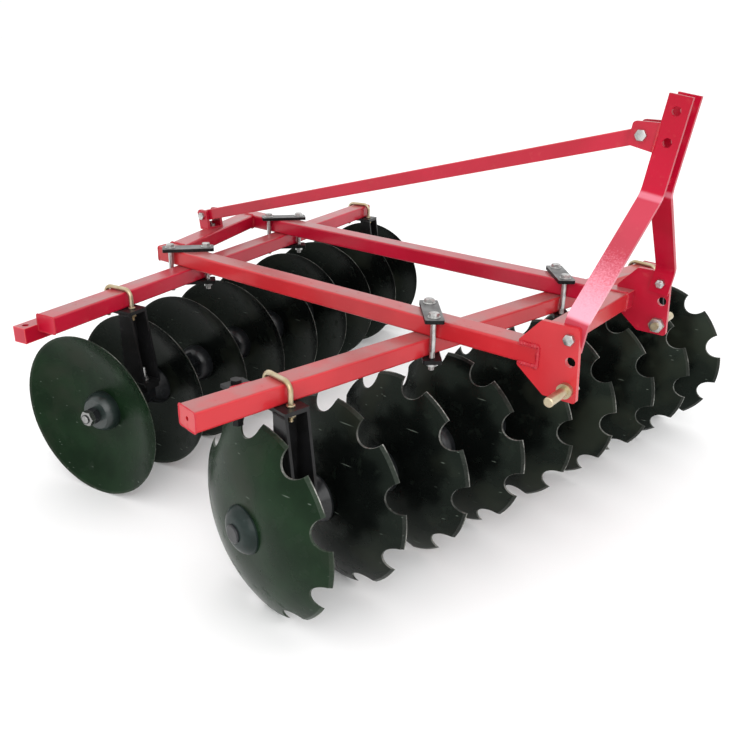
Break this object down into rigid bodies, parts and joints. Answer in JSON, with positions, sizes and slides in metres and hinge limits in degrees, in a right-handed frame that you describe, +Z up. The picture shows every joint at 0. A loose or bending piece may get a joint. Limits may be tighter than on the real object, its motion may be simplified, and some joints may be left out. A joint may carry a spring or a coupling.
{
  "type": "offset disc harrow",
  "caption": "Three-point mounted offset disc harrow: red tube frame with mast and hitch pins, a notched front gang and a plain rear gang of dished discs that turn freely.",
  "frame": {"origin": "on the floor under the middle of the whole machine, which stands on its discs", "axes": "+X forward towards the tractor, +Y to the machine's left, +Z up"},
  "size_m": [1.7514, 1.8844, 1.1058],
  "materials": {
    "disc_steel": "gloss dark green-black paint",
    "gang_black": "black painted casting",
    "yellow_zinc": "yellow zinc plating",
    "zinc": "bright zinc plating",
    "black_paint": "semi-gloss black paint",
    "red_paint": "gloss red paint"
  },
  "bodies": {
    "frame": {"brace_bolts": "zinc", "brace_clevis": "red_paint", "front_bearing_bolts": "zinc", "front_clamp_bolts": "zinc", "front_cross_tube": "red_paint", "front_gang_beam": "red_paint", "front_left_bearing": "black_paint", "front_left_clamp": "black_paint", "front_left_hanger": "black_paint", "front_left_u_bolt": "yellow_zinc", "front_right_bearing": "black_paint", "front_right_clamp": "black_paint", "front_right_hanger": "black_paint", "front_right_u_bolt": "yellow_zinc", "front_side_bolt": "black_paint", "front_side_bracket": "black_paint", "left_hitch_plate": "red_paint", "left_lower_hitch_pin": "yellow_zinc", "left_mast_strap": "red_paint", "left_rail": "red_paint", "left_strap_bolt": "zinc", "mast_ears": "red_paint", "mast_spacer": "red_paint", "rear_bearing_bolts": "zinc", "rear_clamp_bolts": "zinc", "rear_cross_tube": "red_paint", "rear_gang_beam": "red_paint", "rear_left_bearing": "black_paint", "rear_left_clamp": "black_paint", "rear_left_hanger": "black_paint", "rear_left_u_bolt": "yellow_zinc", "rear_right_bearing": "black_paint", "rear_right_clamp": "black_paint", "rear_right_hanger": "black_paint", "rear_right_u_bolt": "yellow_zinc", "rear_side_bar": "red_paint", "right_hitch_plate": "red_paint", "right_lower_hitch_pin": "yellow_zinc", "right_mast_strap": "red_paint", "right_rail": "red_paint", "right_strap_bolt": "zinc", "top_brace": "red_paint"},
    "front_gang": {"front_axle": "gang_black", "front_axle_nuts": "gang_black", "front_bearing_sleeves": "gang_black", "front_discs": "disc_steel", "front_end_washers": "gang_black", "front_spools": "gang_black"},
    "rear_gang": {"rear_axle": "gang_black", "rear_axle_nuts": "gang_black", "rear_bearing_sleeves": "gang_black", "rear_discs": "disc_steel", "rear_end_washers": "gang_black", "rear_spools": "gang_black"}
  },
  "joints": [
    {"name": "front_gang_spin", "type": "hinge", "parent": "frame", "child": "front_gang", "pos_m": [0.46751, -0.03788, 0.23], "axis": [0.1736, 0.9848, 0], "continuous": true},
    {"name": "rear_gang_spin", "type": "hinge", "parent": "frame", "child": "rear_gang", "pos_m": [-0.49249, -0.03788, 0.23], "axis": [-0.1736, 0.9848, 0], "continuous": true}
  ]
}
